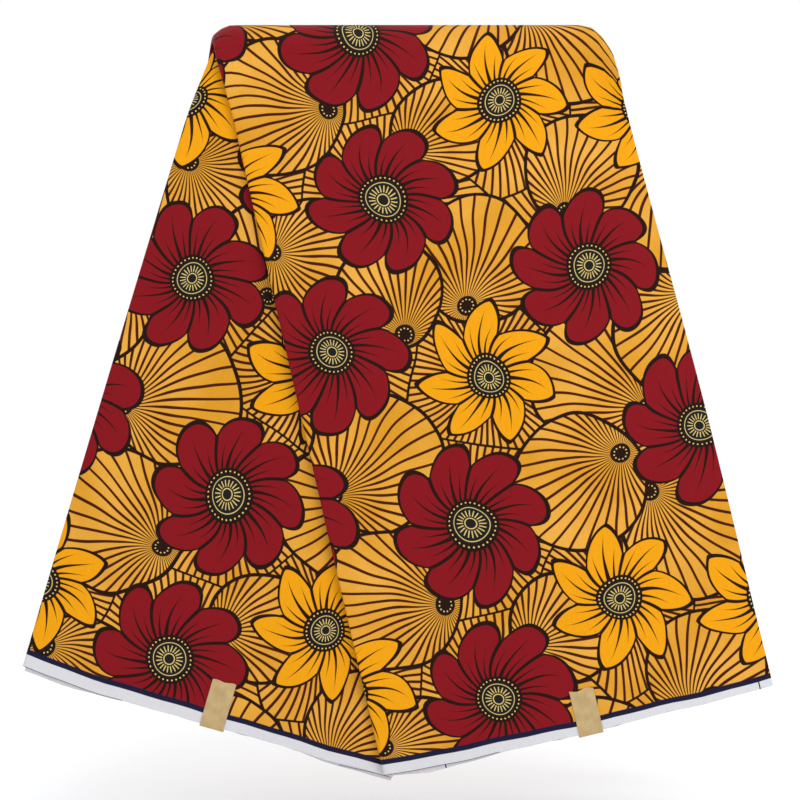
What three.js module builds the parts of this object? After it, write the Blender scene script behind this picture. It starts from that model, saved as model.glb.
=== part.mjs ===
// A length of African wax print cotton, folded into two flat packets that hang over one display rail.
//
// The cloth is 46 inches wide and 6 yards long. It is folded to and fro into nine plies in each packet, and
// each packet is hung at its half width, so the white selvedges are the hems. At the front the left packet
// leans to the left, and the right packet lies over it and leans to the right.
//
// Millimetres. +X is along the rail, the front faces -Y, +Z is up. The origin is the middle of the rail's
// axis.

import * as THREE from "three";

const CLOTH_WIDTH = 1168; // selvedge to selvedge, 46 inches
const PLY_GAP = 0.3; // between two pieces of cloth that lie on each other
const FACE_PLY = 1.0; // the outermost ply, which shows
const INNER_PLIES = 2.4; // all the plies folded up behind it
const PACKET_THICKNESS = FACE_PLY + PLY_GAP + INNER_PLIES;
const ROLL_RADIUS = PACKET_THICKNESS / 2; // the outside of the face ply's folded side

const RAIL_RADIUS = 15;
const RAIL_LENGTH = 230;
const RAIL_CHAMFER = 1;
const RAIL_SIDES = 40;

const TAPE_WIDTH = 19;
const TAPE_THICKNESS = 0.7;
const TAPE_BACK_FLAP = 26;
const TAPE_ACROSS_STEPS = 2;
const TAPE_FLAP_STEPS = 3;
const TAPE_TURN_STEPS = 8;

// How a packet falls from the rail: its legs stand off at the top and come nearly upright at the hem.
const SPLAY_TOP = THREE.MathUtils.degToRad(6);
const SPLAY_HEM = THREE.MathUtils.degToRad(1.5);
const LEG_LENGTH = 560;
const BEND_HALF_ANGLE = Math.PI / 2 - SPLAY_TOP;
const BEND_RADIUS = 19; // of the middle of all the plies over the rail
const BEND_END = BEND_RADIUS * BEND_HALF_ANGLE; // from the fold's top to where a leg starts

// The right packet lies over the left one and stands off it below the rail.
const STAND_OFF = 3.5;
const STAND_OFF_FROM = 5;
const STAND_OFF_FULL = 260;

// Below its drooping corner the right packet's open side is drawn in: how far in from the side that is felt,
// and how far below the fold it sets in and has gone again.
const DRAWN_WIDTH = 90;
const DRAWN_SETS_IN = [30, 75];
const DRAWN_FADES = [80, 360];

// One row for each packet. Lean is the angle from upright, seen from the front: plus is to the right.
const PACKETS = {
  left: {
    panelWidth: 303,
    restsAt: RAIL_RADIUS + PLY_GAP,
    crestX: 6.6,
    leanFront: -16,
    leanBack: -13,
    standsOff: 0,
    drawnIn: 0,
    tapeAcross: 4.5,
    tapeFrontFlap: 36,
    clothColour: 0xe3b13c,
  },
  right: {
    panelWidth: 311,
    restsAt: RAIL_RADIUS + PLY_GAP + PACKET_THICKNESS + PLY_GAP,
    crestX: 3.2,
    leanFront: 13.1,
    leanBack: 13.1,
    standsOff: STAND_OFF,
    drawnIn: 4,
    tapeAcross: 9,
    tapeFrontFlap: 34,
    clothColour: 0xd79a2b,
  },
};
const LEAN_TURNS_WITHIN = 150; // the lean changes over this length each side of the fold
const LEAN_SAMPLES = 24;
const ROW_SOLVES = 4;

// Past the rail's ends nothing holds a fold up, so its corners sag and the fold opens a little there. One
// row for each corner: the side of the packet, how far in from it the sag starts, and how far it drops and
// opens.
const CORNERS = {
  left: [
    { side: -1, run: 16, drop: 14, opens: 0 },
    { side: 1, run: 34, drop: 37, opens: 0 },
  ],
  right: [
    { side: -1, run: 13, drop: 9, opens: 3 },
    { side: 1, run: 19.5, drop: 24, opens: 7 },
  ],
};
const CORNER_FADE = 95; // below the fold, where a corner's sag has ended

// The front hems, from a packet's left side to its right. Lower: how far the face ply's selvedge hangs
// below half the cloth's width, and the back one above it. Peek: how far the inner plies' selvedges show
// below the face ply's.
const HEMS = {
  left: [
    { across: 0, lower: 2, peek: 3.4 },
    { across: 0.14, lower: 4.8, peek: 1.6 },
    { across: 0.3, lower: 6, peek: -0.6 },
    { across: 0.72, lower: 5.6, peek: -0.8 },
    { across: 0.86, lower: 5, peek: 2.6 },
    { across: 1, lower: 5, peek: 3.2 },
  ],
  right: [
    { across: 0, lower: 2.5, peek: 0.5 },
    { across: 0.12, lower: 4, peek: 3.6 },
    { across: 0.36, lower: 5.4, peek: -0.6 },
    { across: 0.8, lower: 3.8, peek: -1 },
    { across: 1, lower: 2.6, peek: 0.6 },
  ],
};

// Long soft swells that stand out from a leg, one row each, from a place near the rail to one at the hem.
const SWELLS = {
  front: [
    { topX: -118, hemX: -222, halfWidth: 46, height: 3.2 },
    { topX: -52, hemX: -62, halfWidth: 34, height: 4.2 },
    { topX: 62, hemX: 158, halfWidth: 62, height: 5.0 },
    { topX: 128, hemX: 262, halfWidth: 38, height: 2.4 },
  ],
  back: [
    { topX: 96, hemX: 196, halfWidth: 50, height: 4.4 },
    { topX: 6, hemX: 34, halfWidth: 40, height: 3.4 },
    { topX: -84, hemX: -186, halfWidth: 54, height: 4.8 },
  ],
};
const SWELL_STARTS = 60; // below the rail
const SWELL_FULL = 420;

// How finely the walls are divided.
const LEG_STEPS = 8;
const BEND_STEPS = 14;
const BEND_SPREAD = 1.2; // the close rows run this much past the bend
const ROWS_TURN_BY = 330; // rows lie along the rail over it, and square across the packet this far down
const HALF_COLUMNS = [0, 0.016, 0.042, 0.08, 0.14, 0.21, 0.29, 0.37]; // shares of a packet's width
const COLUMNS = [...HALF_COLUMNS, ...HALF_COLUMNS.map((share) => 1 - share).reverse()];
const PLY_EDGES = 6; // rows through the inner plies: folded edges and the grooves between them
const GROOVE = 1.1;
const ROLL_STEPS = 5; // round the face ply's folded side

const RAIL_FINISH = { color: 0xd9bf94, roughness: 0.55 };
const INNER_FINISH = { color: 0xe9e7e4, roughness: 0.85 };
const TAPE_FINISH = { color: 0xc6a874, roughness: 0.6 };
const FACE_ROUGHNESS = 0.75;

const { clamp, smoothstep, lerp, degToRad } = THREE.MathUtils;

// The bend and leg as one curve in the side view. The distance is along the cloth from the fold's top, and
// the radius is from the rail's axis to the ply.
function sideView(radius, distance) {
  const bend = Math.min(distance / BEND_RADIUS, BEND_HALF_ANGLE);
  const leg = Math.max(distance - BEND_END, 0);
  const turn = (SPLAY_HEM - SPLAY_TOP) / LEG_LENGTH;
  const splay = SPLAY_TOP + turn * leg;
  return {
    out: radius * Math.sin(bend) + (Math.cos(SPLAY_TOP) - Math.cos(splay)) / turn,
    up: radius * Math.cos(bend) - (Math.sin(splay) - Math.sin(SPLAY_TOP)) / turn,
  };
}

function swellAt(side, x, up) {
  const full = smoothstep(-up, SWELL_STARTS, SWELL_FULL);
  const out = SWELLS[side].map(({ topX, hemX, halfWidth, height }) => {
    const away = (x - lerp(topX, hemX, -up / LEG_LENGTH)) / halfWidth;
    return height * Math.exp(-away * away);
  });
  return out.reduce((sum, height) => sum + height, 0) * full;
}

// How far a packet's corner drops and opens. Where it slopes, the plies' upright spacing is stretched,
// which keeps them as thick as they are elsewhere.
function cornerAt(name, across, distance) {
  const { side, run, drop, opens } = CORNERS[name].find((row) => row.side * across >= 0);
  const fromEdge = PACKETS[name].panelWidth / 2 - side * across;
  const share = Math.max(1 - fromEdge / run, 0);
  const fade = 1 - smoothstep(distance, 0, CORNER_FADE);
  const bulge = Math.sin(Math.PI * clamp(distance / CORNER_FADE, 0, 1));
  return {
    drop: drop * share * share * fade,
    opens: opens * share * bulge,
    stretch: Math.hypot(1, (2 * drop * share * fade) / run),
  };
}

function drawnIn(packet, across, down) {
  const beside = smoothstep(across, packet.panelWidth / 2 - DRAWN_WIDTH, packet.panelWidth / 2);
  const below = smoothstep(down, ...DRAWN_SETS_IN) * (1 - smoothstep(down, ...DRAWN_FADES));
  return packet.drawnIn * beside * below;
}

// A packet's own place: along the cloth from the fold (plus is the front), across it, and out from the
// rail's axis. Half the cloth's width along is the hem.
function placeOn(name) {
  const packet = PACKETS[name];
  const front = degToRad(packet.leanFront);
  const back = degToRad(packet.leanBack);
  const leanAt = (along) =>
    lerp(back, front, smoothstep(along, -LEAN_TURNS_WITHIN, LEAN_TURNS_WITHIN));
  const unrolled = (along, across) => {
    let x = packet.crestX;
    let distance = 0;
    for (let n = 0; n < LEAN_SAMPLES; n += 1) {
      const lean = leanAt(((n + 0.5) / LEAN_SAMPLES) * along);
      x += (Math.sin(lean) * along) / LEAN_SAMPLES;
      distance += (Math.cos(lean) * along) / LEAN_SAMPLES;
    }
    const lean = leanAt(along);
    return { x: x + across * Math.cos(lean), distance: distance - across * Math.sin(lean) };
  };
  const place = (half, across, radius) => {
    const along = half + (hemAt(name, across).lower * Math.abs(half)) / (CLOTH_WIDTH / 2);
    const { x, distance } = unrolled(along, across);
    const side = distance >= 0 ? "front" : "back";
    const down = Math.abs(distance);
    const corner = cornerAt(name, across, down);
    const curve = sideView(BEND_RADIUS + (radius - BEND_RADIUS) * corner.stretch, down);
    const standsOff = packet.standsOff * smoothstep(down, STAND_OFF_FROM, STAND_OFF_FULL);
    const out = curve.out + swellAt(side, x, curve.up) + standsOff + corner.opens;
    const inward = drawnIn(packet, across, down);
    return new THREE.Vector3(x - inward, side === "front" ? -out : out, curve.up - corner.drop);
  };
  // A row's place at one column, so that the rows over the rail lie along it.
  const rowAt = (station, across) => {
    const level = unrolled(station, 0).distance;
    let along = station;
    for (let n = 0; n < ROW_SOLVES; n += 1) along += level - unrolled(along, across).distance;
    const square = smoothstep(Math.abs(station), BEND_END * BEND_SPREAD, ROWS_TURN_BY);
    return lerp(along, station, square);
  };
  return { place, rowAt };
}

// A closed wall: a block of cells, bent by pointAt(i, j, k), with only its six outer faces made.
function wall(along, across, through, pointAt) {
  const points = [];
  const numbers = new Map();
  const number = (i, j, k) => {
    const key = `${i},${j},${k}`;
    if (!numbers.has(key)) {
      numbers.set(key, points.length / 3);
      points.push(...pointAt(i, j, k).toArray());
    }
    return numbers.get(key);
  };
  const triangles = [];
  const side = (rows, columns, corner) => {
    for (let r = 0; r < rows; r += 1) {
      for (let c = 0; c < columns; c += 1) {
        const [a, b] = [corner(r, c), corner(r + 1, c)];
        const [d, e] = [corner(r + 1, c + 1), corner(r, c + 1)];
        triangles.push(a, b, d, a, d, e);
      }
    }
  };
  side(along, across, (r, c) => number(r, c, through));
  side(across, along, (r, c) => number(c, r, 0));
  side(through, along, (r, c) => number(c, across, r));
  side(along, through, (r, c) => number(r, 0, c));
  side(across, through, (r, c) => number(along, r, c));
  side(through, across, (r, c) => number(0, c, r));
  const geometry = new THREE.BufferGeometry();
  geometry.setAttribute("position", new THREE.Float32BufferAttribute(points, 3));
  geometry.setIndex(triangles);
  geometry.computeVertexNormals();
  return geometry;
}

// Places along a packet from the back hem to the front one, close together over the rail.
function stationsAlong(halfLength) {
  const bend = BEND_END * BEND_SPREAD;
  const legs = Array.from({ length: LEG_STEPS }, (_, n) =>
    lerp(halfLength, bend, n / LEG_STEPS),
  );
  const over = Array.from({ length: BEND_STEPS + 1 }, (_, n) =>
    lerp(-bend, bend, n / BEND_STEPS),
  );
  return [...legs.map((place) => -place), ...over, ...[...legs].reverse()];
}

// The columns of a packet's plies, from its left side to its right. Three of them follow its tape.
function columnsOf(packet) {
  const tape = [-0.5, 0, 0.5].map((side) => packet.tapeAcross + side * TAPE_WIDTH);
  const shares = tape.map((across) => 0.5 + across / packet.panelWidth);
  return [...COLUMNS, ...shares].sort((a, b) => a - b);
}

const acrossAt = (packet, share) => (share - 0.5) * packet.panelWidth;

function hemAt(name, across) {
  const rows = HEMS[name];
  const share = clamp(across / PACKETS[name].panelWidth + 0.5, 0, 1);
  const next = Math.max(rows.findIndex((row) => row.across >= share), 1);
  const [low, high] = [rows[next - 1], rows[next]];
  const between = (share - low.across) / (high.across - low.across);
  return { lower: lerp(low.lower, high.lower, between), peek: lerp(low.peek, high.peek, between) };
}

// The plies behind the face ply: one rounded wall with a groove between each two folds.
function innerPlies(name) {
  const packet = PACKETS[name];
  const { place, rowAt } = placeOn(name);
  const halfLength = CLOTH_WIDTH / 2;
  const stations = stationsAlong(halfLength);
  const columns = columnsOf(packet);
  const last = columns.length - 1;
  const low = ROLL_RADIUS + PLY_GAP - packet.panelWidth / 2;
  return wall(stations.length - 1, last, PLY_EDGES, (i, j, k) => {
    const groove = k % 2 ? GROOVE : 0;
    const across = Math.max(acrossAt(packet, columns[j]), low);
    const side = Number(j === 0) - Number(j === last);
    const longer = hemAt(name, across).peek - groove;
    const along = rowAt(stations[i], across) * (1 + longer / halfLength);
    const radius = packet.restsAt + (INNER_PLIES * k) / PLY_EDGES;
    return place(along, across + side * groove, radius);
  });
}

// The ply that shows, folded round the packet's left side.
function facePly(name) {
  const packet = PACKETS[name];
  const { place, rowAt } = placeOn(name);
  const halfWidth = packet.panelWidth / 2;
  const stations = stationsAlong(CLOTH_WIDTH / 2);
  const middle = packet.restsAt + ROLL_RADIUS;
  const columns = columnsOf(packet);
  return wall(stations.length - 1, ROLL_STEPS + columns.length - 1, 1, (i, j, k) => {
    const reach = ROLL_RADIUS - (1 - k) * FACE_PLY;
    const rolled = Math.max(ROLL_STEPS - j, 0) / ROLL_STEPS;
    const turn = Math.PI * rolled;
    const share = columns[Math.max(j - ROLL_STEPS, 0)];
    const flat = Math.max(acrossAt(packet, share), ROLL_RADIUS - halfWidth);
    const across = flat - reach * Math.sin(turn);
    return place(rowAt(stations[i], across), across, middle + reach * Math.cos(turn));
  });
}

// A strip of paper tape folded round a packet's front hem, to hold its plies together.
function hemTape(name) {
  const packet = PACKETS[name];
  const { place } = placeOn(name);
  const hem = CLOTH_WIDTH / 2 + PLY_GAP;
  const inside = ROLL_RADIUS + PLY_GAP;
  const middle = packet.restsAt + ROLL_RADIUS;
  const steps = 2 * TAPE_FLAP_STEPS + TAPE_TURN_STEPS;
  return wall(steps, TAPE_ACROSS_STEPS, 1, (i, j, k) => {
    const reach = inside + k * TAPE_THICKNESS;
    const across = packet.tapeAcross + TAPE_WIDTH * (0.5 - j / TAPE_ACROSS_STEPS);
    const before = Math.max(TAPE_FLAP_STEPS - i, 0) / TAPE_FLAP_STEPS;
    const after = Math.max(i + TAPE_FLAP_STEPS - steps, 0) / TAPE_FLAP_STEPS;
    const turned = (i - TAPE_FLAP_STEPS) / TAPE_TURN_STEPS;
    const turn = Math.PI * THREE.MathUtils.clamp(turned, 0, 1);
    const flap = TAPE_BACK_FLAP * before + packet.tapeFrontFlap * after;
    const along = hem - flap + reach * Math.sin(turn);
    return place(along, across, middle - reach * Math.cos(turn));
  });
}

// The plain round rail inside the fold, turned like a dowel and laid along X.
function railRod() {
  const half = RAIL_LENGTH / 2;
  const profile = [
    [0, -half],
    [RAIL_RADIUS - RAIL_CHAMFER, -half],
    [RAIL_RADIUS, RAIL_CHAMFER - half],
    [RAIL_RADIUS, half - RAIL_CHAMFER],
    [RAIL_RADIUS - RAIL_CHAMFER, half],
    [0, half],
  ].map(([r, y]) => new THREE.Vector2(r, y));
  return new THREE.LatheGeometry(profile, RAIL_SIDES).rotateZ(-Math.PI / 2);
}

function piece(name, geometry, finish) {
  const material = new THREE.MeshStandardMaterial({ ...finish, metalness: 0 });
  const mesh = new THREE.Mesh(geometry, material);
  mesh.name = name;
  return mesh;
}

const fabric = new THREE.Group();
fabric.add(piece("rail", railRod(), RAIL_FINISH));
for (const name of Object.keys(PACKETS)) {
  const faceFinish = { color: PACKETS[name].clothColour, roughness: FACE_ROUGHNESS };
  fabric.add(piece(`${name}_inner_plies`, innerPlies(name), INNER_FINISH));
  fabric.add(piece(`${name}_face_ply`, facePly(name), faceFinish));
  fabric.add(piece(`${name}_hem_tape`, hemTape(name), TAPE_FINISH));
}

export default fabric;
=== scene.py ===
# %% [markdown]
# # A length of wax print cotton over a display rail
#
# The object is one length of printed cotton, taken to be six yards long and 46 inches wide. It is folded
# into two flat packets, and each packet hangs at its half width over one hidden rail, so that the printed
# fronts fan out to the left and the right and the white selvedges are the hems. A strip of paper tape holds
# the plies of each packet together at its front hem.
#
# The solids in model.glb give the frame, the size and the places that everything below follows.

import math

import bpy
import numpy as np
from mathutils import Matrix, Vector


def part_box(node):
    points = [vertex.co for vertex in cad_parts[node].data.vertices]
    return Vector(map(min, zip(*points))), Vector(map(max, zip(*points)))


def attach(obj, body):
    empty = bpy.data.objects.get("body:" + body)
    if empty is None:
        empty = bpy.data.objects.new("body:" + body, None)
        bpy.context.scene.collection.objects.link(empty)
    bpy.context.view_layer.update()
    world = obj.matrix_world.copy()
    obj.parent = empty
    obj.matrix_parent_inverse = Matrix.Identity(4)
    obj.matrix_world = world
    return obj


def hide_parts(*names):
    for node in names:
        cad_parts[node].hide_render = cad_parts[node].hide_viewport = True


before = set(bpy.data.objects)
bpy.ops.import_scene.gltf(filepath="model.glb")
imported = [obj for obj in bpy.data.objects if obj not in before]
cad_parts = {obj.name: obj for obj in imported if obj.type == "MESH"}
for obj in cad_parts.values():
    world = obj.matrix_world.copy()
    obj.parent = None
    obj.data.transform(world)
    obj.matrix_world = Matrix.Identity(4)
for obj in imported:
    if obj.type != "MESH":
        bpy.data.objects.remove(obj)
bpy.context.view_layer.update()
print(len(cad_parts), "nodes in the frame")

# %% [markdown]
# ## How the cloth lies
#
# Cloth bends one way easily and hardly stretches, so a packet over a rail is a flat strip that is laid
# across the rail at an angle and bent round it. That is best written as a place function: it takes a spot
# on the strip and says where it is in space. The main sizes are those of the solids, in metres. The two
# left corners and the inner plies at the hems differ from them by a few millimetres, and the tapes are
# thinner. A cloth simulation could also find the folds. The pressed and taped packets have a plain form
# that can be written down, so none is used.

# %% Sizes of the cloth and of the two packets
CLOTH_WIDTH = 1.168  # selvedge to selvedge
CLOTH_THICKNESS = 0.00026
RAIL_RADIUS = 0.015
PLY_GAP = 0.0003
PACKET_THICKNESS = 0.0037
PLIES = 9
BEND_RADIUS = 0.019
SPLAY_TOP = math.radians(6)
SPLAY_HEM = math.radians(1.5)
LEG_LENGTH = 0.56
BEND_HALF_ANGLE = math.pi / 2 - SPLAY_TOP
BEND_END = BEND_RADIUS * BEND_HALF_ANGLE
BEND_SPREAD = 1.2  # the close rows of the mesh end at this many times the bend's end
LEAN_TURNS_WITHIN = 0.15  # the lean changes over this length each side of the fold
LEAN_SAMPLES = 24
ROW_SOLVES = 4
ROWS_TURN_BY = 0.33
CORNER_FADE = 0.095  # below the fold, where a corner's sag has ended
STAND_OFF_GROWS = (0.005, 0.26)
DRAWN_WIDTH = 0.09
DRAWN_SETS_IN = (0.03, 0.075)
DRAWN_FADES = (0.08, 0.36)

# Lean is in degrees from upright, plus to the right. A corner has the run, the drop and how far it opens.
PACKETS = {
    "left": dict(
        width=0.303, rests_at=RAIL_RADIUS + PLY_GAP, crest_x=0.0066,
        lean_front=-16.0, lean_back=-13.0, stands_off=0.0, tape_at=0.0045,
        corners={-1: (0.018, 0.016, 0.0), 1: (0.034, 0.037, 0.0)},
        drawn_in=0.0,
    ),
    "right": dict(
        width=0.311, rests_at=RAIL_RADIUS + 2 * PLY_GAP + PACKET_THICKNESS, crest_x=0.0032,
        lean_front=13.1, lean_back=13.1, stands_off=0.0035, tape_at=0.009,
        corners={-1: (0.018, 0.013, 0.003), 1: (0.0195, 0.024, 0.007)},
        drawn_in=0.004,
    ),
}
print("bend ends", round(BEND_END * 1000, 1), "mm from the fold's top, along the cloth")

# %% [markdown]
# The hems hang a little unevenly, and the plies behind show below them here and there. Each row of the
# table is one place across a packet, from its left side to its right: how far the front hem is below half
# the cloth's width, and how far the selvedges behind it show below that. Random numbers could do it, but a
# table lets the hems follow the photo.

# %% Hems and the long soft swells
HEMS = {
    "left": [
        dict(across=0.0, lower=0.002, peek=0.0036),
        dict(across=0.14, lower=0.0048, peek=0.0026),
        dict(across=0.3, lower=0.006, peek=-0.0006),
        dict(across=0.68, lower=0.0056, peek=-0.0008),
        dict(across=0.86, lower=0.005, peek=0.0026),
        dict(across=1.0, lower=0.005, peek=0.0034),
    ],
    "right": [
        dict(across=0.0, lower=0.0025, peek=0.001),
        dict(across=0.12, lower=0.004, peek=0.0038),
        dict(across=0.36, lower=0.0054, peek=-0.0006),
        dict(across=0.8, lower=0.0038, peek=-0.001),
        dict(across=1.0, lower=0.0026, peek=0.0008),
    ],
}

# A swell runs from its place near the rail to its place at the hem, and grows on the way down.
SWELL_GROWS = (0.06, 0.42)
SWELLS = {
    "front": [
        dict(top_x=-0.118, hem_x=-0.222, half_width=0.046, height=0.0032),
        dict(top_x=-0.052, hem_x=-0.062, half_width=0.034, height=0.0042),
        dict(top_x=0.062, hem_x=0.158, half_width=0.062, height=0.005),
        dict(top_x=0.128, hem_x=0.262, half_width=0.038, height=0.0024),
    ],
    "back": [
        dict(top_x=0.096, hem_x=0.196, half_width=0.05, height=0.0044),
        dict(top_x=0.006, hem_x=0.034, half_width=0.04, height=0.0034),
        dict(top_x=-0.084, hem_x=-0.186, half_width=0.054, height=0.0048),
    ],
}
print(sum(map(len, HEMS.values())), "places along the hems,", sum(map(len, SWELLS.values())), "swells")

# %% [markdown]
# Creases are the small part of the form that is given one by one. A press fold leaves a faint line, and the
# weight of a leg pulls shallow troughs from the fold's corners. They could be sculpted, but a table is easier
# to change. Each row is one crease: where it starts and ends as seen from the front, how wide it is, and how
# far it stands out. A minus height is a trough.

# %% Creases
CREASE_STARTS_OVER = 0.08
CREASE_ENDS_OVER = 0.14
CREASES = {
    "front": [
        dict(start=(-0.150, -0.030), end=(-0.205, -0.330), width=0.011, height=-0.0011),
        dict(start=(-0.178, -0.140), end=(-0.262, -0.470), width=0.013, height=0.0013),
        dict(start=(-0.118, -0.210), end=(-0.150, -0.560), width=0.012, height=-0.0011),
        dict(start=(-0.128, -0.050), end=(-0.060, -0.420), width=0.010, height=0.0011),
        dict(start=(0.148, -0.020), end=(0.072, -0.240), width=0.012, height=-0.0013),
        dict(start=(0.160, -0.060), end=(0.236, -0.400), width=0.012, height=0.0013),
        dict(start=(0.020, -0.060), end=(0.105, -0.520), width=0.014, height=-0.0010),
        dict(start=(0.085, -0.300), end=(0.190, -0.590), width=0.012, height=0.0010),
        dict(start=(-0.040, -0.330), end=(0.020, -0.590), width=0.012, height=-0.0011),
    ],
    "back": [
        dict(start=(0.145, -0.040), end=(0.205, -0.350), width=0.012, height=-0.0013),
        dict(start=(0.120, -0.200), end=(0.240, -0.540), width=0.013, height=0.0013),
        dict(start=(-0.020, -0.080), end=(0.060, -0.500), width=0.013, height=-0.0011),
        dict(start=(-0.140, -0.030), end=(-0.070, -0.300), width=0.012, height=0.0011),
        dict(start=(-0.150, -0.120), end=(-0.235, -0.460), width=0.012, height=-0.0013),
        dict(start=(-0.060, -0.300), end=(-0.120, -0.570), width=0.012, height=0.0011),
    ],
}


def smoothstep(value, low, high):
    share = np.clip((value - low) / (high - low), 0, 1)
    return share * share * (3 - 2 * share)


def crease_height(side, x, up):
    total = 0
    for crease in CREASES[side]:
        (x0, z0), (x1, z1) = crease["start"], crease["end"]
        length = math.hypot(x1 - x0, z1 - z0)
        along = ((x - x0) * (x1 - x0) + (up - z0) * (z1 - z0)) / length
        beside = ((x - x0) * (z1 - z0) - (up - z0) * (x1 - x0)) / length
        ends = smoothstep(along, 0, CREASE_STARTS_OVER) * smoothstep(length - along, 0, CREASE_ENDS_OVER)
        total = total + crease["height"] * ends * np.exp(-((beside / crease["width"]) ** 2))
    return total


def swell_height(side, x, up):
    total = 0
    for swell in SWELLS[side]:
        middle = swell["top_x"] + (swell["hem_x"] - swell["top_x"]) * -up / LEG_LENGTH
        total = total + swell["height"] * np.exp(-(((x - middle) / swell["half_width"]) ** 2))
    return total * smoothstep(-up, *SWELL_GROWS)


print(sum(map(len, CREASES.values())), "creases")

# %% [markdown]
# The place function has three steps. The strip's spot is first found on the rail's unrolled surface, where
# the strip is slanted. The side view then bends that surface over the rail and down the two legs. Last come
# the swells, the creases, the stand-off of the packet that lies on top, and the corners, which droop past
# the rail's ends. Bones or a lattice could bend a flat packet too, but a formula keeps every ply's length
# and thickness in hand.


# %% Where a spot on a packet is
def lean_at(packet, along):
    turned = smoothstep(along, -LEAN_TURNS_WITHIN, LEAN_TURNS_WITHIN)
    front, back = packet["lean_front"], packet["lean_back"]
    return np.radians(back + (front - back) * turned)


def unrolled(packet, along, across):
    x, distance = packet["crest_x"], 0
    for n in range(LEAN_SAMPLES):
        lean = lean_at(packet, (n + 0.5) / LEAN_SAMPLES * along)
        x = x + np.sin(lean) * along / LEAN_SAMPLES
        distance = distance + np.cos(lean) * along / LEAN_SAMPLES
    lean = lean_at(packet, along)
    return x + across * np.cos(lean), distance - across * np.sin(lean)


def row_along(packet, station, across):
    """The rows of the mesh lie along the rail over it, and square across the packet lower down."""
    level = unrolled(packet, station, across * 0)[1]
    along = station
    for _ in range(ROW_SOLVES):
        along = along + level - unrolled(packet, along, across)[1]
    square = smoothstep(np.abs(station), BEND_END * BEND_SPREAD, ROWS_TURN_BY)
    return along + (station - along) * square


def hem_table(name, column, across):
    shares = [row["across"] for row in HEMS[name]]
    return np.interp(across / PACKETS[name]["width"] + 0.5, shares, [row[column] for row in HEMS[name]])


def corner_sag(packet, across, down):
    """How far a corner drops and opens, and the stretch that keeps its plies as thick where it slopes."""
    drop, opens, stretch = 0, 0, 1
    for side, (run, full_drop, full_open) in packet["corners"].items():
        share = np.maximum(1 - (packet["width"] / 2 - side * across) / run, 0)
        fade = 1 - smoothstep(down, 0, CORNER_FADE)
        drop = drop + full_drop * share**2 * fade
        opens = opens + full_open * share * np.sin(np.pi * np.clip(down / CORNER_FADE, 0, 1))
        stretch = stretch * np.hypot(1, 2 * full_drop * share * fade / run)
    return drop, opens, stretch


def side_view(radius, down):
    bend = np.minimum(down / BEND_RADIUS, BEND_HALF_ANGLE)
    turn = (SPLAY_HEM - SPLAY_TOP) / LEG_LENGTH
    splay = SPLAY_TOP + turn * np.maximum(down - BEND_END, 0)
    out = radius * np.sin(bend) + (math.cos(SPLAY_TOP) - np.cos(splay)) / turn
    up = radius * np.cos(bend) - (np.sin(splay) - math.sin(SPLAY_TOP)) / turn
    return out, up


def drawn_in(packet, across, down):
    """Below its drooping corner the open side of the front packet is drawn in a little."""
    beside = smoothstep(across, packet["width"] / 2 - DRAWN_WIDTH, packet["width"] / 2)
    below = smoothstep(down, *DRAWN_SETS_IN) * (1 - smoothstep(down, *DRAWN_FADES))
    return packet["drawn_in"] * below * beside


def place(name, half, across, radius):
    """Where a spot is. Half is the distance along the packet from the fold to it, plus in front."""
    packet = PACKETS[name]
    along = half + hem_table(name, "lower", across) * np.abs(half) / (CLOTH_WIDTH / 2)
    x, distance = unrolled(packet, along, across)
    front = distance >= 0
    down = np.abs(distance)
    drop, opens, stretch = corner_sag(packet, across, down)
    out, up = side_view(BEND_RADIUS + (radius - BEND_RADIUS) * stretch, down)
    relief = np.where(
        front,
        swell_height("front", x, up) + crease_height("front", x, up),
        swell_height("back", x, up) + crease_height("back", x, up),
    )
    out = out + relief + packet["stands_off"] * smoothstep(down, *STAND_OFF_GROWS) + opens
    x = x - drawn_in(packet, across, down)
    return np.stack([x, np.where(front, -out, out), up - drop], axis=-1)


middle_of_hem = place("left", np.array(CLOTH_WIDTH / 2), np.array(0.0), BEND_RADIUS)
print("middle of the left packet's front hem:", middle_of_hem.round(3))

# %% [markdown]
# ## The folded packets
#
# In a real packet the cloth runs to and fro. Here the outer ply turns round the left side and becomes the
# rearmost ply, and the rest is folded to and fro between the two. The plies could be copies of one flat
# sheet, but then the folds at the sides would be missing. Modelling the path once, as a line in the
# cross-section, gives every ply, every fold and the layered edges at the hems. The path is swept from hem
# to hem by the place function, and the cloth's own length and width go into a UV map in metres, which the
# print reads.


# %% The path through a packet's plies
PLY_SLACK = 0.0001
NEAR_FOLD = np.array([0, 0.006, 0.02, 0.04, 0.07])
PLY_SHARES = [*NEAR_FOLD, *np.linspace(0.105, 0.895, 22), *(1 - NEAR_FOLD[::-1])]
ROLL_STEPS = 8
FOLD_STEPS = 4
# How far in from the sides the folds lie: nobody stacks nine plies quite flush.
LEFT_INSET, RIGHT_INSET = 0.0005, 0.0004
FOLD_INSETS = [0.0007, 0.0004, 0.0012, 0.0006, 0.0005, 0.0010, 0.0009, 0.0004]


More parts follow.
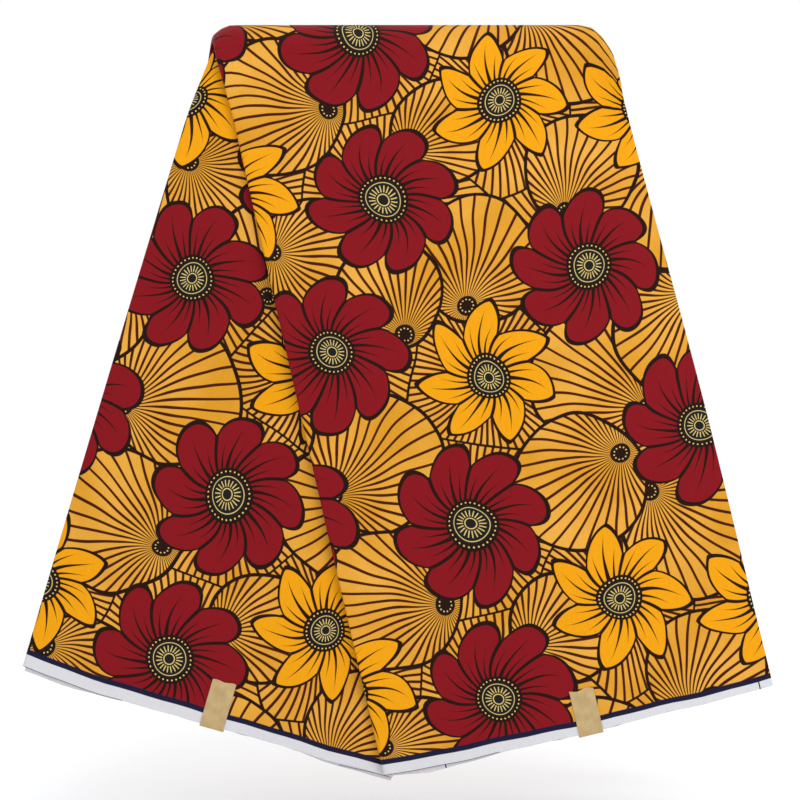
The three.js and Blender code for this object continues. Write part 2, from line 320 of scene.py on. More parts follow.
def folded_path(name, width):
    """Across, height in the packet and length of cloth, at each point of the path through the plies."""
    pitch = (PACKET_THICKNESS - CLOTH_THICKNESS - PLY_SLACK) / (PLIES - 1)
    roll = pitch * (PLIES - 1) / 2
    half = width / 2
    points = []

    def ply(level, start, end):
        for share in PLY_SHARES:
            points.append((start + (end - start) * share, level * pitch))

    def fold(at, level, side, radius):
        for n in range(1, FOLD_STEPS):
            angle = math.pi * n / FOLD_STEPS
            rise = radius * (1 - math.cos(angle))
            points.append((at + side * radius * math.sin(angle), level * pitch + rise))

    ply(PLIES - 1, half, roll - half)
    for n in range(1, ROLL_STEPS):
        angle = math.pi * n / ROLL_STEPS
        points.append((roll - half - roll * math.sin(angle), roll + roll * math.cos(angle)))
    insets = FOLD_INSETS if name == "left" else FOLD_INSETS[::-1]
    left, right = roll + LEFT_INSET - half, half - RIGHT_INSET
    for level in range(PLIES - 1):
        start, end, sign = (left, right, 1) if level % 2 == 0 else (right, left, -1)
        first = start if level == 0 else start + sign * insets[level - 1]
        ply(level, first, end - sign * insets[level])
        if level < PLIES - 2:
            fold(end - sign * insets[level], level, sign, pitch / 2)
    points = np.array(points)
    steps = np.hypot(*np.diff(points, axis=0).T)
    return points[:, 0], points[:, 1], np.concatenate([[0], np.cumsum(steps)])


across, height, length = folded_path("right", PACKETS["right"]["width"])
print("path of", len(across), "points,", round(length[-1], 3), "m of cloth in the right packet")


# %% [markdown]
# The mesh is a plain grid: one row for each station from the back hem over the rail to the front hem,
# closer together over the rail, and one column for each point of the path. The plies behind the face ply
# are shifted a little along the leg, by the peek column of the hem table, so that their selvedges show
# below the hem.


# %% Sweep the path into cloth
LEG_ROWS = 42
BEND_ROWS = 25
HEM_FLARE = 0.0017  # how far the face ply stands off at the hem
TAPE_HOLDS = 0.055  # and how far from the tape it begins to
HELD_BEHIND = 0.4  # the share of it that is held back on the back leaf, which has no tape
FLARE_GROWS = (0.86, 1)  # in shares of a leg, as for the waver
WAVER_GROWS = (0.6, 1)
OUTERMOST_ONLY = 12  # a power of the height, which leaves the flare to the outermost ply
PEEK_SETS_IN = 1.2  # complete at this many widths of the packet from the face ply's open side
PEEK = dict(middle=0.55, varies=0.45, rate=2.2)
WAVER = dict(slow=0.0004, slow_rate=61, start=1.3, fine=0.0003, fine_rate=143, per_length=7)
CLOTH_SEAT = CLOTH_THICKNESS / 2 + 0.00005
SMOOTH_UNDER = math.radians(50)


def stations():
    bend = BEND_END * BEND_SPREAD
    leg = np.linspace(CLOTH_WIDTH / 2, bend, LEG_ROWS)[:-1]
    over = np.linspace(-bend, bend, BEND_ROWS)
    return np.concatenate([-leg, over, leg[::-1]])


def grid_object(name, points, uv):
    rows, columns = points.shape[:2]
    index = np.arange(rows * columns).reshape(rows, columns)
    quads = np.stack([index[:-1, :-1], index[:-1, 1:], index[1:, 1:], index[1:, :-1]], axis=-1).reshape(-1, 4)
    mesh = bpy.data.meshes.new(name)
    mesh.from_pydata(points.reshape(-1, 3).tolist(), [], quads.tolist())
    layer = mesh.uv_layers.new(name="Cloth")
    corners = np.empty(len(mesh.loops), dtype=np.int32)
    mesh.loops.foreach_get("vertex_index", corners)
    layer.data.foreach_set("uv", uv.reshape(-1, 2)[corners].ravel())
    piece = bpy.data.objects.new(name, mesh)
    bpy.context.collection.objects.link(piece)
    return piece


def thicken(piece, thickness):
    bpy.ops.object.select_all(action="DESELECT")
    bpy.context.view_layer.objects.active = piece
    piece.select_set(True)
    wall = piece.modifiers.new("Thickness", "SOLIDIFY")
    wall.thickness = thickness
    wall.offset = 0
    bpy.ops.object.modifier_apply(modifier=wall.name)
    bpy.ops.object.shade_smooth_by_angle(angle=SMOOTH_UNDER)


def packet_cloth(name, cloth_start):
    packet = PACKETS[name]
    across, height, length = folded_path(name, packet["width"])
    station, column = np.meshgrid(stations(), across, indexing="ij")
    along = row_along(packet, station, column)
    # The face ply doesn't shift, and the others shift by shares that vary from ply to ply.
    behind = smoothstep(length, packet["width"], packet["width"] * PEEK_SETS_IN)
    from_end = (length - length[-1]) / packet["width"]
    varied = PEEK["middle"] + PEEK["varies"] * np.cos(from_end * PEEK["rate"])
    shift = hem_table(name, "peek", column) * (behind * varied)
    leg = along / (CLOTH_WIDTH / 2)
    slow = WAVER["slow"] * np.sin(column * WAVER["slow_rate"] + WAVER["start"])
    fine = WAVER["fine"] * np.sin(column * WAVER["fine_rate"] + length * WAVER["per_length"])
    waver = slow + fine
    half = along + shift * leg + waver * smoothstep(np.abs(leg), *WAVER_GROWS) * np.sign(leg)
    # The face ply stands off the others at the hem, except under the tape in front.
    outermost = (height / height.max()) ** OUTERMOST_ONLY
    from_tape = (column - packet["tape_at"]) / TAPE_HOLDS
    held = np.where(leg > 0, np.exp(-(from_tape**2)), HELD_BEHIND)
    flare = HEM_FLARE * (1 - held) * smoothstep(np.abs(leg), *FLARE_GROWS)
    radius = packet["rests_at"] + CLOTH_SEAT + height + flare * outermost
    points = place(name, half, column, radius)
    uv = np.stack([cloth_start + length + column * 0, along + CLOTH_WIDTH / 2], axis=-1)
    piece = grid_object(f"{name}_packet_cloth", points, uv)
    thicken(piece, CLOTH_THICKNESS)
    return piece, length[-1]


cloth, cloth_starts, cloth_lengths = {}, {}, {}
for name in PACKETS:
    cloth_starts[name] = sum(cloth_lengths.values())
    cloth[name], used = packet_cloth(name, cloth_starts[name])
    cloth_lengths[name] = used
    print(cloth[name].name, len(cloth[name].data.polygons), "faces", round(used, 3), "m of cloth")

# %% [markdown]
# A piece of cloth replaces both solids of its packet, the ply that shows and the plies behind it.

# %% What the cloth stands for
for name, piece in cloth.items():
    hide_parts(f"{name}_face_ply", f"{name}_inner_plies")
    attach(piece, "root")

# %% [markdown]
# ## The tapes and the rail
#
# Brown paper tape is folded round each front hem, to hold the nine plies together. It is a thin strip too,
# so it is made in the same way as the cloth: a short path goes down behind the front leaf, round the hem
# and up its front.

# %% Paper tapes
TAPES = {
    "left": dict(width=0.019, front_flap=0.036, back_flap=0.026, torn_from=1),
    "right": dict(width=0.019, front_flap=0.034, back_flap=0.026, torn_from=3),
}
TORN = dict(slow=0.0006, slow_rate=9, fine=0.0003, fine_rate=31)
TAPE_THICKNESS = 0.0003
TAPE_STANDS_OFF = 0.0006
TAPE_TURN = 0.7  # how far the turn round the hem reaches down, of half its depth


def hem_tape(name):
    tape, packet = TAPES[name], PACKETS[name]
    reach = PACKET_THICKNESS / 2 + TAPE_STANDS_OFF
    middle = packet["rests_at"] + PACKET_THICKNESS / 2
    hem = CLOTH_WIDTH / 2 + TAPE_STANDS_OFF
    back = [(hem - flap, -reach) for flap in np.linspace(tape["back_flap"], 0, 7)[:-1]]
    angles = np.linspace(0, math.pi, 13)
    turn = [(hem + TAPE_TURN * reach * math.sin(a), -reach * math.cos(a)) for a in angles]
    front = [(hem - flap, reach) for flap in np.linspace(0, tape["front_flap"], 9)[1:]]
    path = np.array(back + turn + front)
    lengths = np.concatenate([[0], np.cumsum(np.hypot(*np.diff(path, axis=0).T))])
    beside = np.linspace(-0.5, 0.5, 7)
    half, column = np.meshgrid(path[:, 0], beside, indexing="ij")
    # The ends were torn off by hand, so they aren't quite straight.
    torn = TORN["slow"] * np.sin(beside * TORN["slow_rate"] + tape["torn_from"])
    torn = torn + TORN["fine"] * np.sin(beside * TORN["fine_rate"])
    half[-1] += torn
    half[0] += torn[::-1]
    across = packet["tape_at"] + column * tape["width"]
    radius = middle + path[:, 1][:, None] + across * 0
    points = place(name, half, across, radius)
    uv = np.stack([column * tape["width"], lengths[:, None] + column * 0], axis=-1)
    piece = grid_object(f"{name}_paper_tape", points, uv)
    thicken(piece, TAPE_THICKNESS)
    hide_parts(f"{name}_hem_tape")
    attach(piece, "root")
    return piece, lengths[-1]


tapes = {}
for name in TAPES:
    tapes[name], tape_length = hem_tape(name)
    print(tapes[name].name, round(tape_length * 1000), "mm of tape")
for name, piece in cloth.items():
    used = cloth_lengths[name]

# %% [markdown]
# The rail is hidden in the photo. It is a plain round rod, turned from pale wood: a cylinder whose two end
# edges are eased with a bevel. It keeps the size and place of its solid.

# %% Wooden rail
EDGE_EASE = 0.001
AT_END = 1e-5
bpy.ops.object.select_all(action="DESELECT")
rail_low, rail_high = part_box("rail")
rail_length = rail_high[0] - rail_low[0]
bpy.ops.mesh.primitive_cylinder_add(
    vertices=64, radius=RAIL_RADIUS, depth=rail_length, location=(0, 0, 0), rotation=(0, math.pi / 2, 0)
)
rail = bpy.context.object
rail.name = rail.data.name = "wooden_rail"
bpy.ops.object.transform_apply(location=True, rotation=True, scale=True)
bpy.ops.object.mode_set(mode="EDIT")
bpy.ops.mesh.select_all(action="DESELECT")
bpy.ops.object.mode_set(mode="OBJECT")
for edge in rail.data.edges:
    ends = [rail.data.vertices[v].co for v in edge.vertices]
    upright = abs(ends[0].x - ends[1].x) < AT_END
    edge.select = upright and abs(abs(ends[0].x) - rail_length / 2) < AT_END
bpy.ops.object.mode_set(mode="EDIT")
bpy.ops.mesh.bevel(offset=EDGE_EASE, segments=3, profile=0.5)
bpy.ops.object.mode_set(mode="OBJECT")
bpy.ops.object.shade_smooth_by_angle(angle=math.radians(40))
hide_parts("rail")
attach(rail, "root")
print("rail", round(rail_length * 1000), "mm long")

# %% [markdown]
# ## Writing shader maths as expressions
#
# A printed pattern is a lot of arithmetic. Wiring Math nodes by hand hides it, so one small class wraps a
# socket and gives it the usual operators, and an expression such as 1 - mask then adds its own nodes. A
# second class holds a material and adds every other node through one method.


# %% Values and finishes
class Value:
    """A number in a material's nodes."""

    def __init__(self, finish, socket):
        self.finish = finish
        self.socket = socket

    def _do(self, operation, *others):
        return self.finish.math(operation, self, *others)

    def __add__(self, other):
        return self._do("ADD", other)

    def __sub__(self, other):
        return self._do("SUBTRACT", other)

    def __mul__(self, other):
        return self._do("MULTIPLY", other)

    def __truediv__(self, other):
        return self._do("DIVIDE", other)

    def __pow__(self, other):
        return self._do("POWER", other)

    def __lt__(self, other):
        return self._do("LESS_THAN", other)

    def __gt__(self, other):
        return self._do("GREATER_THAN", other)

    def __radd__(self, other):
        return self.finish.math("ADD", other, self)

    def __rsub__(self, other):
        return self.finish.math("SUBTRACT", other, self)

    def __rmul__(self, other):
        return self.finish.math("MULTIPLY", other, self)

    def __rtruediv__(self, other):
        return self.finish.math("DIVIDE", other, self)

    def __abs__(self):
        return self._do("ABSOLUTE")

    def fraction(self):
        return self._do("FRACT")

    def least(self, other):
        return self._do("MINIMUM", other)

    def most(self, other):
        return self._do("MAXIMUM", other)


class Finish:
    """A material on one Principled shader."""

    def __init__(self, name, **settings):
        self.material = bpy.data.materials.new(name)
        self.material.use_nodes = True
        self.tree = self.material.node_tree
        self.shader = self.tree.nodes["Principled BSDF"]
        for socket, value in settings.items():
            self.shader.inputs[socket.replace("_", " ")].default_value = value

    def node(self, kind, settings=None, inputs=None):
        made = self.tree.nodes.new(kind)
        for key, value in (settings or {}).items():
            setattr(made, key, value)
        for key, value in (inputs or {}).items():
            self.feed(made.inputs[key], value)
        return made

    def feed(self, socket, value):
        if isinstance(value, Value):
            value = value.socket
        if isinstance(value, bpy.types.NodeSocket):
            self.tree.links.new(value, socket)
        else:
            socket.default_value = value

    def math(self, operation, *values, clamp=False):
        settings = {"operation": operation, "use_clamp": clamp}
        return Value(self, self.node("ShaderNodeMath", settings, dict(enumerate(values))).outputs[0])

    def vector(self, operation, *values):
        made = self.node("ShaderNodeVectorMath", {"operation": operation}, dict(enumerate(values)))
        return made.outputs["Value" if operation == "LENGTH" else "Vector"]

    def mask(self, value, edge, soft=0.0004):
        """1 where the value is under the edge and 0 over it, with a soft step between."""
        return self.math("MULTIPLY_ADD", edge - value, 1 / soft, 0.5, clamp=True)

    def mix(self, share, first, second, kind="RGBA"):
        made = self.node("ShaderNodeMix", {"data_type": kind})
        names = {
            "RGBA": ("A_Color", "B_Color", 2),
            "VECTOR": ("A_Vector", "B_Vector", 1),
            "FLOAT": ("A_Float", "B_Float", 0),
        }[kind]
        sockets = {s.identifier: s for s in made.inputs}
        self.feed(sockets["Factor_Float"], share)
        self.feed(sockets[names[0]], first)
        self.feed(sockets[names[1]], second)
        result = made.outputs[names[2]]
        return Value(self, result) if kind == "FLOAT" else result

    def parts(self, vector):
        made = self.node("ShaderNodeSeparateXYZ", inputs={0: vector})
        return [Value(self, made.outputs[n]) for n in range(3)]

    def put(self, socket, value):
        self.feed(self.shader.inputs[socket], value)


def paint(red, green, blue):
    """A colour given as it looks on a screen, 0 to 255, in the linear light that shaders use."""
    linear = [c / 3294.6 if c <= 10 else ((c / 255 + 0.055) / 1.055) ** 2.4 for c in (red, green, blue)]
    return (*linear, 1.0)


print("mid grey in linear light:", [round(c, 3) for c in paint(128, 128, 128)])

# %% [markdown]
# ## The print
#
# Wax prints of this kind have big flowers in a few flat colours, dark outlines, dotted hearts and a ground
# of thin rays. The pattern here is a plain one of that kind, drawn for this part: whole round rosettes,
# some with rounded petals and some with pointed ones, and round shells between them. It repeats as printed
# cloth does, on a tile.
#
# In nodes, each motif of the tile is one row of a table. For each spot of the cloth the offsets to all
# motifs are wrapped round the tile, and the nearest motif is kept, with the distance of the second nearest
# for the borders. One flower is then drawn from the kept offset, so that the petals are worked out once and
# not once a motif.

# %% The repeat and its colours
TILE = (0.34, 0.4)
CRIMSON_PETALS = dict(petals=8, round=2.4, deep=0.27, red=1)
YELLOW_PETALS = dict(petals=7, round=1.3, deep=0.43, red=0)
ROSETTES = [
    dict(at=(0.049, 0.017), reach=0.060, turn=0.2, **CRIMSON_PETALS),
    dict(at=(0.084, 0.273), reach=0.056, turn=1.1, **YELLOW_PETALS),
    dict(at=(0.146, 0.081), reach=0.056, turn=0.5, **YELLOW_PETALS),
    dict(at=(0.262, 0.038), reach=0.061, turn=0.9, **CRIMSON_PETALS),
    dict(at=(0.184, 0.193), reach=0.062, turn=0.6, **CRIMSON_PETALS),
    dict(at=(0.193, 0.327), reach=0.060, turn=1.4, **CRIMSON_PETALS),
    dict(at=(0.311, 0.300), reach=0.057, turn=0.3, **YELLOW_PETALS),
    dict(at=(0.331, 0.158), reach=0.062, turn=1.0, **CRIMSON_PETALS),
]
SHELLS = [
    dict(at=(0.248, 0.128), reach=0.056, turn=0.5),
    dict(at=(0.060, 0.104), reach=0.058, turn=2.4),
    dict(at=(0.316, 0.380), reach=0.055, turn=4.4),
    dict(at=(0.132, 0.392), reach=0.052, turn=1.2),
    dict(at=(0.016, 0.232), reach=0.057, turn=5.4),
    dict(at=(0.094, 0.180), reach=0.054, turn=3.6),
    dict(at=(0.262, 0.236), reach=0.057, turn=2.9),
    dict(at=(0.032, 0.342), reach=0.048, turn=0.9),
    dict(at=(0.334, 0.082), reach=0.050, turn=3.9),
    dict(at=(0.256, 0.362), reach=0.049, turn=5.9),
    dict(at=(0.206, 0.002), reach=0.044, turn=1.7),
    dict(at=(0.134, 0.286), reach=0.043, turn=0.3),
]

GOLD = paint(203, 140, 31)
PALE_GOLD = paint(219, 160, 62)
CRIMSON = paint(124, 10, 21)
YELLOW = paint(223, 150, 6)
OUTLINE = paint(30, 9, 2)
CHARCOAL = paint(22, 22, 24)
CREAM = paint(204, 180, 110)
NAVY = paint(20, 20, 50)
SELVEDGE = paint(203, 203, 207)
# painted shadow: the colour of the dark hairline at the cloth's edge, which stands in for the shade between
# plies
PAINTED_GAP_SHADOW = paint(70, 70, 80)
print(len(ROSETTES), "rosettes and", len(SHELLS), "shells")
print("gold in linear light:", [round(c, 3) for c in GOLD])

# %% [markdown]
# The motifs are drawn with a few measures of their own: the offset of a spot from a motif's middle, and how
# far the spot is from the nearest of a number of spokes. An image of one motif could be repeated instead,
# but it would blur close up.


# %% Offsets and spokes
def from_middle(finish, spot, motif):
    """The offset from a motif's middle, wrapped round the tile."""
    half = (TILE[0] / 2, TILE[1] / 2, 1)
    apart = finish.vector("SUBTRACT", spot, (*motif["at"], 0))
    wrapped = finish.node(
        "ShaderNodeVectorMath", {"operation": "WRAP"}, {0: apart, 1: half, 2: tuple(-h for h in half)}
    )
    return wrapped.outputs[0]


def length_of(finish, vector):
    return Value(finish, finish.vector("LENGTH", vector))


def spokes(turn, radius, count):
    """How far a spot is, along its circle, from the nearest of a number of spokes."""
    return abs((turn * (count / (2 * math.pi))).fraction() - 0.5) * radius * (2 * math.pi / count)


def ring_of_dots(turn, radius, ring, count):
    """How far a spot is from the nearest of the dots that stand evenly on a ring."""
    beside = spokes(turn, ring, count)
    return ((radius - ring) ** 2.0 + beside * beside) ** 0.5


# %% [markdown]
# Every spot belongs to one rosette, the nearest by its reach, and the line between two rosettes' rays is
# where the nearest and the second nearest are equally far. The shells lie on each other instead, like
# coins: they are dealt one after another, and the last one that covers a spot is the one that shows there.


# %% Which motif a spot belongs to
FAR_OFF = 99
FACTS = [("reach", "petals", "turn"), ("round", "deep", "red")]
SHELL_FOCUS = 0.74


def nearest_rosette(finish, spot):
    best = second = offset = kept = None
    for motif in ROSETTES:
        apart = from_middle(finish, spot, motif)
        close = length_of(finish, apart) / motif["reach"]
        facts = [tuple(motif[fact] for fact in three) for three in FACTS]
        if best is None:
            best, second, offset, kept = close, FAR_OFF, apart, facts
            continue
        nearer = close < best
        second = close.most(best).least(second)
        best = best.least(close)
        offset = finish.mix(nearer, offset, apart, "VECTOR")
        kept = [finish.mix(nearer, old, new, "VECTOR") for old, new in zip(kept, facts)]
    return offset, kept, (second - best) * 0.5


def topmost_shell(finish, spot):
    offset, inside = spot, -1.0
    for shell in SHELLS:
        apart = from_middle(finish, spot, shell)
        depth = shell["reach"] - length_of(finish, apart)
        over = depth > 0
        focus = SHELL_FOCUS * shell["reach"]
        from_focus = finish.vector(
            "SUBTRACT", apart, (focus * math.cos(shell["turn"]), focus * math.sin(shell["turn"]), 0)
        )
        offset = finish.mix(over, offset, from_focus, "VECTOR")
        inside = finish.mix(over, inside, depth, "FLOAT")
    return offset, inside


# %% [markdown]
# The flower is drawn in polar coordinates. The petals come from one formula: the rim's radius falls from
# each petal's middle to the notch beside it, by a power that makes the tip round or pointed. A twist that
# grows with the radius bends the veins, as if they had been cut by hand. The order of the mixes is the
# order of the dye: ground, rays, shells, petals, veins, heart.


# %% Dye the ground
CLOUDS = {"Scale": 16.0, "Detail": 3.0}
CLOUD_CONTRAST = (3.0, -1.0)
GROUND_RAYS = 66
SHELL_RAYS = 46
RAY = dict(colour=paint(62, 16, 3), half_width=0.00105, narrows=0.03)
BORDER = 0.0009
SHELL_EYE = 0.0078
SHELL_RIM = 0.0028
SEEDS = dict(count=11, ring=0.0049, radius=0.0006)
CRISP = 0.0003  # the soft step of the smallest marks


def dye_ground(finish, on_cloth, spot, angle, radius, border):
    """Gold with rays from each rosette, and shells whose rays spread from a point near their rim."""
    clouds = finish.node("ShaderNodeTexNoise", None, {"Vector": on_cloth, **CLOUDS}).outputs[0]
    uneven = finish.math("MULTIPLY_ADD", clouds, *CLOUD_CONTRAST, clamp=True)
    ground = finish.mix(uneven, GOLD, PALE_GOLD)
    rays = finish.mask(spokes(angle, radius, GROUND_RAYS), RAY["half_width"])
    colour = finish.mix(rays, ground, RAY["colour"])
    colour = finish.mix(finish.mask(border, BORDER), colour, OUTLINE)
    offset, inside = topmost_shell(finish, spot)
    x, y, _ = finish.parts(offset)
    far = length_of(finish, offset)
    turn = finish.math("ARCTAN2", y, x) + math.pi
    rays = finish.mask(spokes(turn, far, SHELL_RAYS), (far * RAY["narrows"]).least(RAY["half_width"]))
    shell = finish.mix(rays, ground, RAY["colour"])
    shell = finish.mix(finish.mask(far, SHELL_EYE), shell, OUTLINE)
    seed = ring_of_dots(turn, far, SEEDS["ring"], SEEDS["count"])
    shell = finish.mix(finish.mask(seed, SEEDS["radius"], CRISP), shell, CREAM)
    shell = finish.mix(finish.mask(inside, SHELL_RIM), shell, OUTLINE)
    return finish.mix(inside > 0, colour, shell)


# %% [markdown]
# A rosette is petals, veins and a heart. The sizes of the petals and of the heart are shares of the
# rosette's reach, so that one table serves large and small ones. The widths of the lines are in metres,
# because printed lines are as wide on a small flower as on a large one.

# %% Dye the rosettes
TWIST = 9.0  # radians a metre
VEIN = dict(ends=0.84, half_width=0.0024)
SIDE_VEIN = dict(at=0.52, ends=0.66, half_width=0.0018)
PARTING = dict(half_width=0.0008, widens=0.0009)
PETAL_OUTLINE = 0.00165
HEART = 0.235
# The next three lines are shares of the heart.
HEART_OUTLINE = 1.34
DOT_RING, FINE_RING, INNER_RING = 1.15, 0.88, 0.28
STROKES_FROM, STROKES_TO = 0.38, 0.72
DOTS, DOT_RADIUS = 30, 0.00065
STROKES = 20
FINE_LINE, BROAD_LINE = 0.00032, 0.0004


def dye_rosette(finish, colour, facts, angle, radius):
    """Petals, veins and a dotted heart."""
    reach, petals, _ = finish.parts(facts[0])
    roundness, deep, red = finish.parts(facts[1])
    twisted = angle + radius * TWIST
    share = abs((twisted * petals / (2 * math.pi)).fraction() - 0.5) * 2
    rim = reach * (1 - deep * share**roundness)
    petal = finish.mask(radius, rim)
    colour = finish.mix(petal, colour, finish.mix(red, YELLOW, CRIMSON))
    arc = radius * math.pi / petals
    vein = finish.mask(share * arc, (1 - radius / (reach * VEIN["ends"])) * VEIN["half_width"])
    side_width = (1 - radius / (reach * SIDE_VEIN["ends"])) * SIDE_VEIN["half_width"]
    side_vein = finish.mask(abs(share - SIDE_VEIN["at"]) * arc, side_width)
    parting = finish.mask((1 - share) * arc, PARTING["half_width"] + radius / reach * PARTING["widens"])
    colour = finish.mix(petal * vein.most(side_vein).most(parting), colour, OUTLINE)
    colour = finish.mix(finish.mask(abs(radius - rim), PETAL_OUTLINE), colour, OUTLINE)
    heart = reach * HEART
    colour = finish.mix(finish.mask(radius, heart * HEART_OUTLINE), colour, OUTLINE)
    colour = finish.mix(finish.mask(radius, heart), colour, CHARCOAL)
    cream = finish.mask(ring_of_dots(angle, radius, heart * DOT_RING, DOTS), DOT_RADIUS, CRISP)
    cream = cream.most(finish.mask(abs(radius - heart * FINE_RING), FINE_LINE, CRISP))
    strokes = finish.mask(spokes(angle, radius, STROKES), BROAD_LINE, CRISP)
    cream = cream.most(strokes * (radius > heart * STROKES_FROM) * (radius < heart * STROKES_TO))
    cream = cream.most(finish.mask(abs(radius - heart * INNER_RING), BROAD_LINE, CRISP))
    return finish.mix(cream, colour, CREAM)


# %% [markdown]
# The printing stops short of the cloth's edges: bare white cotton is left under a navy line, with a short
# register mark once in each repeat. These follow the cloth's edges and not the repeat, so they are painted
# from the distance to the nearer edge.

# %% Dye the selvedges
BARE = dict(width=0.0084, narrows=0.0005, wanders=0.0014, wander_length=0.676, wander_start=0.15)
NAVY_LINE = 0.0041
# the painted shadow line at the cloth's edge: its width, and where along the band it shows
GAP_SHADOW_WIDTH = 0.0004
GAP_SHADOW_WHERE = 0.6
MARK_AT = cloth_starts["right"] + 0.0105
MARK = dict(half_width=0.0005, length=0.0068)


def dye_selvedge(finish, colour, along, edge):
    # The printing isn't quite parallel to the cloth's edge, so the white band's width wanders.
    wander = finish.math("SINE", (along - BARE["wander_start"]) * (2 * math.pi / BARE["wander_length"]))
    bare = wander * BARE["wanders"] + BARE["width"] - along * BARE["narrows"]
    colour = finish.mix(finish.mask(edge - bare, NAVY_LINE, soft=0.0005), colour, NAVY)
    colour = finish.mix(finish.mask(edge, bare, soft=0.0004), colour, SELVEDGE)
    # Where the band is wide, its very edge is darkened: a painted shadow, standing in for the shade between
    # the plies, that shows as a hairline there.
    gap_shadow_mask = finish.mask(edge, GAP_SHADOW_WIDTH, soft=0.0002) * (wander > GAP_SHADOW_WHERE)
    colour = finish.mix(gap_shadow_mask, colour, PAINTED_GAP_SHADOW)
    repeat = abs(finish.math("WRAP", along - MARK_AT, TILE[0] / 2, -TILE[0] / 2))
    mark = finish.mask(repeat, MARK["half_width"], CRISP) * finish.mask(edge, MARK["length"])
    return finish.mix(mark, colour, CHARCOAL)


# %% [markdown]
# The steps are now put together. A slow noise first shifts each spot by a few millimetres, so that the
# circles come out as if cut by hand. The UV map could be shifted in the mesh instead, but then the
# selvedges would wander too. The weave comes last. Its threads are too fine for the picture's pixels and
# show only close up, and the thicker threads here and there give the cloth its grain.

# %% Put the print and the weave together
HAND_DRAWN = dict(noise={"Scale": 15.0, "Detail": 1.0}, shift=0.011)
SLUBS = (900.0, 110.0, 1.0)
SLUB_SHADE = (0.14, 0.93)
THREAD_PAIR = 0.0006
WEAVE_BUMP = {"Strength": 0.12, "Distance": 0.0002}


def wax_print():
    finish = Finish(
        "wax print cotton", Roughness=0.7, Specular_IOR_Level=0.1, Sheen_Weight=0.03, Sheen_Roughness=0.5
    )
    on_cloth = finish.node("ShaderNodeUVMap", {"uv_map": "Cloth"}).outputs["UV"]
    flat_noise = ("ShaderNodeTexNoise", {"noise_dimensions": "2D"})
    hand = finish.node(*flat_noise, {"Vector": on_cloth, **HAND_DRAWN["noise"]}).outputs["Color"]
    shift = (HAND_DRAWN["shift"], HAND_DRAWN["shift"], 0)
    hand = finish.vector("MULTIPLY", finish.vector("SUBTRACT", hand, (0.5, 0.5, 0.5)), shift)
    spot = finish.vector("ADD", on_cloth, hand)
    offset, facts, border = nearest_rosette(finish, spot)
    x, y, _ = finish.parts(offset)
    reach, _, turn = finish.parts(facts[0])
    radius = length_of(finish, offset)
    angle = finish.math("ARCTAN2", y, x) + turn + math.pi
    colour = dye_ground(finish, on_cloth, spot, angle, radius, border * reach)
    colour = dye_rosette(finish, colour, facts, angle, radius)
    along, over, _ = finish.parts(on_cloth)
    edge = over.least(CLOTH_WIDTH - over)
    colour = dye_selvedge(finish, colour, along, edge)
    stretched = finish.vector("MULTIPLY", on_cloth, SLUBS)
    slubs = finish.node(*flat_noise, {"Vector": stretched, "Scale": 1.0, "Detail": 2.0}).outputs[0]
    slubs = Value(finish, slubs)
    shade = slubs * SLUB_SHADE[0] + SLUB_SHADE[1]
    uneven = finish.node("ShaderNodeCombineXYZ", None, {n: shade for n in range(3)})
    colour = finish.vector("MULTIPLY", colour, uneven.outputs[0])
    thread = 2 * math.pi / THREAD_PAIR
    weave = finish.math("SINE", along * thread) * finish.math("SINE", over * thread) + slubs
    bump = finish.node("ShaderNodeBump", None, {**WEAVE_BUMP, "Height": weave})
    finish.put("Base Color", colour)
    finish.put("Normal", bump.outputs["Normal"])
    print(finish.material.name, "has", len(finish.tree.nodes), "nodes")
    return finish.material


printed = wax_print()
for piece in cloth.values():
    piece.data.materials.append(printed)

# %% [markdown]
# ## Tape and wood
#
# The tape is matte brown paper with faint fibres along it. The wood is pale, with rings that run along the
# rod: a noise that is stretched far along X reads as grain. A wave texture could draw even rings, which
# look turned out by a machine.


# %% Finish the tape and the rail
PAPER_FIBRES = (900.0, 120.0, 1.0)
PAPER_BUMP = {"Strength": 0.2, "Distance": 0.0002}
PAPER_SHADE = dict(fibres=0.4, blotches=1.5, less=0.45)
PAPER_COLOURS = (paint(160, 133, 85), paint(194, 168, 119))
WOOD_GRAIN = (6.0, 140.0, 140.0)
WOOD_COLOURS = (paint(176, 138, 88), paint(222, 190, 142))
WOOD_ROUGHNESS = (0.42, 0.2)


def tape_paper():
    finish = Finish("brown paper tape", Roughness=0.62)
    spot = finish.node("ShaderNodeUVMap", {"uv_map": "Cloth"}).outputs["UV"]
    stretched = finish.vector("MULTIPLY", spot, PAPER_FIBRES)
    fibres = finish.node("ShaderNodeTexNoise", None, {"Vector": stretched, "Scale": 1.0, "Detail": 4.0})
    blotches = finish.node("ShaderNodeTexNoise", None, {"Vector": spot, "Scale": 95.0, "Detail": 2.0})
    shade = Value(finish, fibres.outputs[0]) * PAPER_SHADE["fibres"]
    shade = shade + Value(finish, blotches.outputs[0]) * PAPER_SHADE["blotches"] - PAPER_SHADE["less"]
    finish.put("Base Color", finish.mix(shade, *PAPER_COLOURS))
    bump = finish.node("ShaderNodeBump", None, {**PAPER_BUMP, "Height": shade})
    finish.put("Normal", bump.outputs["Normal"])
    return finish.material


def pale_wood():
    finish = Finish("pale wood", Roughness=0.5)
    spot = finish.node("ShaderNodeTexCoord").outputs["Object"]
    stretched = finish.vector("MULTIPLY", spot, WOOD_GRAIN)
    grain = Value(finish, finish.node(
        "ShaderNodeTexNoise", None, {"Vector": stretched, "Scale": 1.0, "Detail": 5.0, "Distortion": 0.6}
    ).outputs[0])
    finish.put("Base Color", finish.mix(grain, *WOOD_COLOURS))
    finish.put("Roughness", WOOD_ROUGHNESS[0] + grain * WOOD_ROUGHNESS[1])
    return finish.material


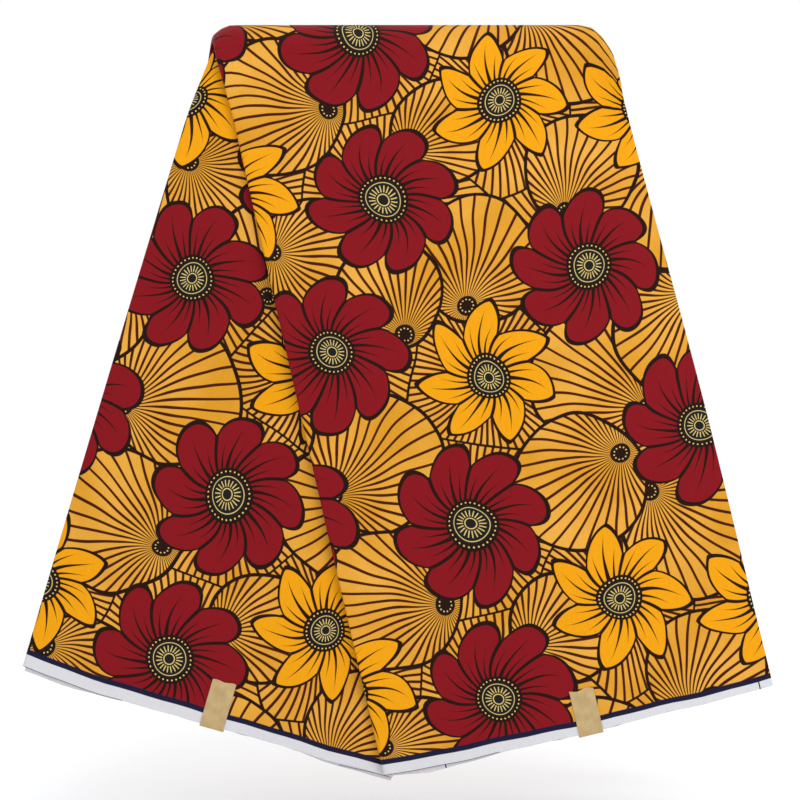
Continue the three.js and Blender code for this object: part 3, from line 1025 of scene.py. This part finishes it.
tape_finish, wood_finish = tape_paper(), pale_wood()
for piece in tapes.values():
    piece.data.materials.append(tape_finish)
rail.data.materials.append(wood_finish)
print("finishes:", tape_finish.name, "and", wood_finish.name)

# %% [markdown]
# ## Studio
#
# The photo has a white surround, lit so evenly that it is nearly pure white, with one soft shadow on the
# floor under the cloth. A curved backdrop would show its edge from behind. A wide flat floor and a white
# world look alike from all sides. The floor glows a very little, so that it meets the world without a hard
# line.

# %% White floor
FLOOR_Z = -0.625
FLOOR_RADIUS = 30
bpy.ops.object.select_all(action="DESELECT")
bpy.ops.mesh.primitive_circle_add(
    vertices=96, radius=FLOOR_RADIUS, fill_type="NGON", location=(0, 0, FLOOR_Z)
)
floor = bpy.context.object
floor.name = "white_floor"
bpy.ops.object.transform_apply(location=True, rotation=True, scale=True)
floor_finish = Finish(
    "white floor paint", Roughness=0.95, Specular_IOR_Level=0.1, Base_Color=paint(236, 238, 241),
    Emission_Color=(1, 1, 1, 1), Emission_Strength=0.19,
)
floor.data.materials.append(floor_finish.material)
print("floor at", FLOOR_Z, "m")

# %% [markdown]
# The white world alone would light the cloth flatly. A large soft key light hangs high at the front right,
# and puts the shadow of the front packet on the one behind. A smaller light hangs high in front, a weak one
# fills in from low at the right, and the world does the rest.


# %% Lights
def softbox(name, at, aim, size, power):
    light = bpy.data.lights.new(name, "AREA")
    light.shape = "RECTANGLE"
    light.size, light.size_y = size
    light.energy = power
    box = bpy.data.objects.new(name, light)
    box.location = at
    direction = np.array(aim) - np.array(at)
    yaw = math.atan2(direction[0], -direction[1])
    pitch = math.atan2(math.hypot(direction[0], direction[1]), -direction[2])
    box.rotation_euler = (pitch, 0, math.pi + yaw)
    bpy.context.collection.objects.link(box)
    print(name, power, "W")


softbox("key light", at=(1.0, -1.15, 1.05), aim=(0, 0, -0.35), size=(0.6, 0.6), power=6)
softbox("top light", at=(0.1, -0.85, 1.3), aim=(0, 0, -0.3), size=(0.5, 0.3), power=4)
softbox("low fill", at=(1.0, -1.2, -0.25), aim=(0.1, 0, -0.4), size=(0.5, 0.5), power=1.6)
world = bpy.data.worlds.new("white studio")
world.use_nodes = True
world.node_tree.nodes["Background"].inputs["Color"].default_value = (1, 1, 1, 1)
world.node_tree.nodes["Background"].inputs["Strength"].default_value = 1.0
bpy.context.scene.world = world
bpy.context.scene.view_settings.view_transform = "Standard"

# %% [markdown]
# ## Camera
#
# The top edge is level and the two hems slope alike, so the camera looks straight at the middle of the
# cloth. A longer lens from further away could frame it as well. But the packets widen towards the hem,
# which stands nearer the lens, and that fixes the distance at about a metre and a half.

# %% Camera
CAMERA_AT = (-0.0029, -1.45, -0.282)
SENSOR_WIDTH = 36
FOCAL_LENGTH = 80.13
lens = bpy.data.cameras.new("camera")
lens.sensor_width = SENSOR_WIDTH
lens.lens = FOCAL_LENGTH
camera = bpy.data.objects.new("camera", lens)
camera.location = CAMERA_AT
camera.rotation_euler = (math.radians(90), 0, 0)
bpy.context.collection.objects.link(camera)
bpy.context.scene.camera = camera
print("camera at", CAMERA_AT, "with a", FOCAL_LENGTH, "mm lens")
